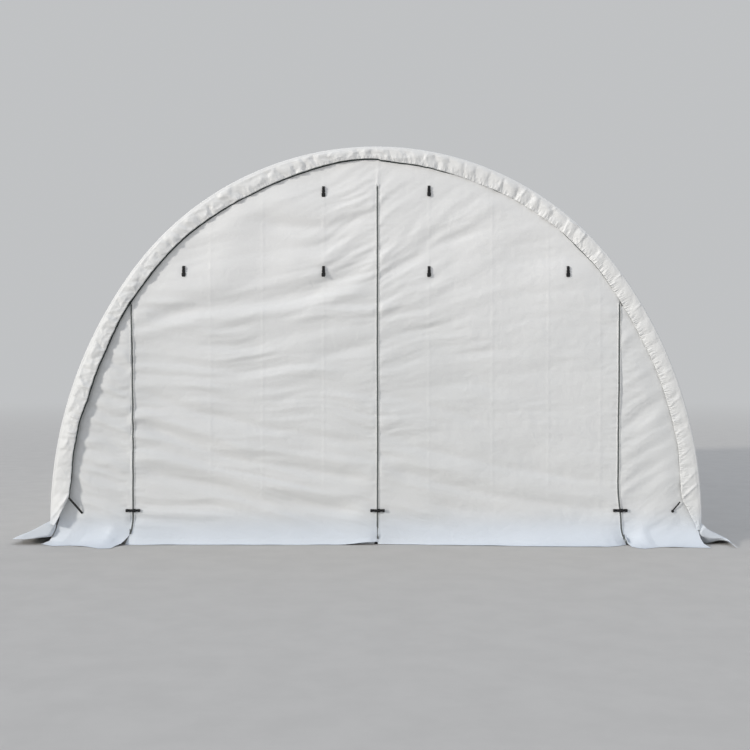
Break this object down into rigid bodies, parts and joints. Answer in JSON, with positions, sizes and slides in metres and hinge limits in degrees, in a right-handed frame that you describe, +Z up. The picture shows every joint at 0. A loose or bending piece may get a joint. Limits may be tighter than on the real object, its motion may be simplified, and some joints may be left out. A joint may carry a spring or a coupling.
{
  "type": "arched storage shelter",
  "caption": "Fabric storage shelter on rounded tube arches, with a zipped roll-up door front, gathered hem bands and ground skirts.",
  "frame": {"origin": "on the ground at the centre of the footprint, ground flaps included", "axes": "X across the front, +Y from the front into the depth, +Z up"},
  "size_m": [6.7884, 7.9446, 3.7219],
  "materials": {
    "cover_fabric": "coated woven fabric, satin, puckered at its gathered hem",
    "wall_fabric": "coated woven fabric, satin, creased",
    "galvanised_steel": "galvanised tube and plate",
    "strap_webbing": "black woven webbing with plastic buckles",
    "zipper_tape": "dull dark grey zipper tape and teeth"
  },
  "bodies": {
    "root": {"arch_2": "galvanised_steel", "arch_3": "galvanised_steel", "arch_4": "galvanised_steel", "arch_back": "galvanised_steel", "arch_front": "galvanised_steel", "back_flap": "wall_fabric", "back_post_feet": "galvanised_steel", "back_post_left": "galvanised_steel", "back_post_right": "galvanised_steel", "back_wall": "wall_fabric", "corner_flap_left": "wall_fabric", "corner_flap_right": "wall_fabric", "corner_panel_left": "wall_fabric", "corner_panel_right": "wall_fabric", "corner_tie_left": "strap_webbing", "corner_tie_right": "strap_webbing", "cover": "cover_fabric", "door_bar_left": "galvanised_steel", "door_bar_right": "galvanised_steel", "door_left": "wall_fabric", "door_right": "wall_fabric", "feet_left": "galvanised_steel", "feet_right": "galvanised_steel", "front_header": "galvanised_steel", "front_post_feet": "galvanised_steel", "front_post_left": "galvanised_steel", "front_post_right": "galvanised_steel", "hem_back": "cover_fabric", "hem_front": "cover_fabric", "purlin_clips": "galvanised_steel", "purlin_lower_left": "galvanised_steel", "purlin_lower_right": "galvanised_steel", "purlin_ridge": "galvanised_steel", "purlin_upper_left": "galvanised_steel", "purlin_upper_right": "galvanised_steel", "roll_straps": "strap_webbing", "side_skirt_left": "cover_fabric", "side_skirt_right": "cover_fabric", "tension_rail_left": "galvanised_steel", "tension_rail_right": "galvanised_steel", "zip_straps": "strap_webbing", "zipper_centre": "zipper_tape", "zipper_left": "zipper_tape", "zipper_right": "zipper_tape"}
  },
  "joints": []
}
